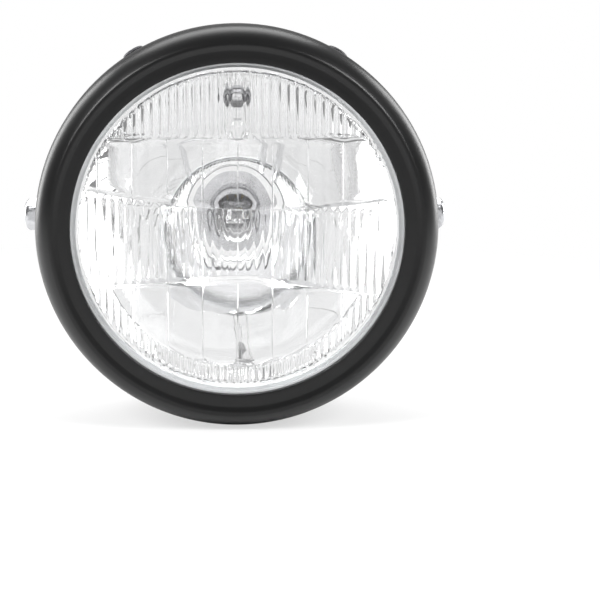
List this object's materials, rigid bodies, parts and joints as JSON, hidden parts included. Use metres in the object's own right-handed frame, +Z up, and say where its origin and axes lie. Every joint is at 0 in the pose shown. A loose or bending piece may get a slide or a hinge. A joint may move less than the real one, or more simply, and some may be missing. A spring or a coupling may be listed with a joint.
{
  "type": "round motorcycle headlight",
  "caption": "Round motorcycle headlight: black sheet-steel bucket with a fluted glass lens in a trim ring, side fixing bolts and a cable opening at the top rear.",
  "frame": {"origin": "middle of the line that joins the two side bolts, on the lamp's optical axis", "axes": "-Y is the way the lamp shines, +Z is up, +X runs along the side bolts, to the right as seen from the front"},
  "size_m": [0.19, 0.1326, 0.18],
  "materials": {
    "bucket_black": "satin black powder coat",
    "ring_black": "satin black powder coat",
    "lens_glass": "clear pressed glass with moulded flutes",
    "bulb_clear": "clear glass",
    "reflector_bright": "vacuum-plated bright bowl",
    "spring_steel": "plain sheet steel",
    "zinc_steel": "bright zinc plate",
    "screw_black": "black oxide",
    "bush_black": "satin black",
    "bulb_metal": "tinned steel",
    "filament_grey": "drawn wire and pressed shield",
    "rubber_black": "matte rubber",
    "plastic_black": "matte moulding",
    "plastic_white": "translucent white moulding",
    "brass": "tinned brass",
    "lead_white": "vinyl insulation",
    "lead_blue": "vinyl insulation",
    "lead_black": "vinyl insulation",
    "lead_brown": "vinyl insulation"
  },
  "bodies": {
    "root": {"bucket": "bucket_black", "trim_ring": "ring_black", "lens": "lens_glass", "trim_gasket": "rubber_black", "lens_seal": "rubber_black", "reflector": "reflector_bright", "retaining_clip_1": "spring_steel", "retaining_clip_2": "spring_steel", "retaining_clip_3": "spring_steel", "retaining_clip_4": "spring_steel", "rim_tab_left": "spring_steel", "rim_tab_right": "spring_steel", "rim_nut_left": "zinc_steel", "rim_nut_right": "zinc_steel", "rim_screw_left": "screw_black", "rim_screw_right": "screw_black", "rim_hook": "spring_steel", "side_bolt_left": "zinc_steel", "side_bolt_right": "zinc_steel", "side_bush_left": "bush_black", "side_bush_right": "bush_black", "side_nut_left": "zinc_steel", "side_nut_right": "zinc_steel", "bulb_glass": "bulb_clear", "bulb_base": "bulb_metal", "bulb_blades": "brass", "bulb_filaments": "filament_grey", "bulb_lock_ring": "spring_steel", "dust_boot": "rubber_black", "bulb_socket": "plastic_black", "park_bulb": "bulb_clear", "park_holder": "rubber_black", "lead_low": "lead_white", "lead_high": "lead_blue", "lead_earth": "lead_black", "lead_park": "lead_brown", "lead_park_earth": "lead_black", "harness_sleeve": "rubber_black", "harness_connector": "plastic_white", "connector_pins": "brass"}
  },
  "joints": []
}
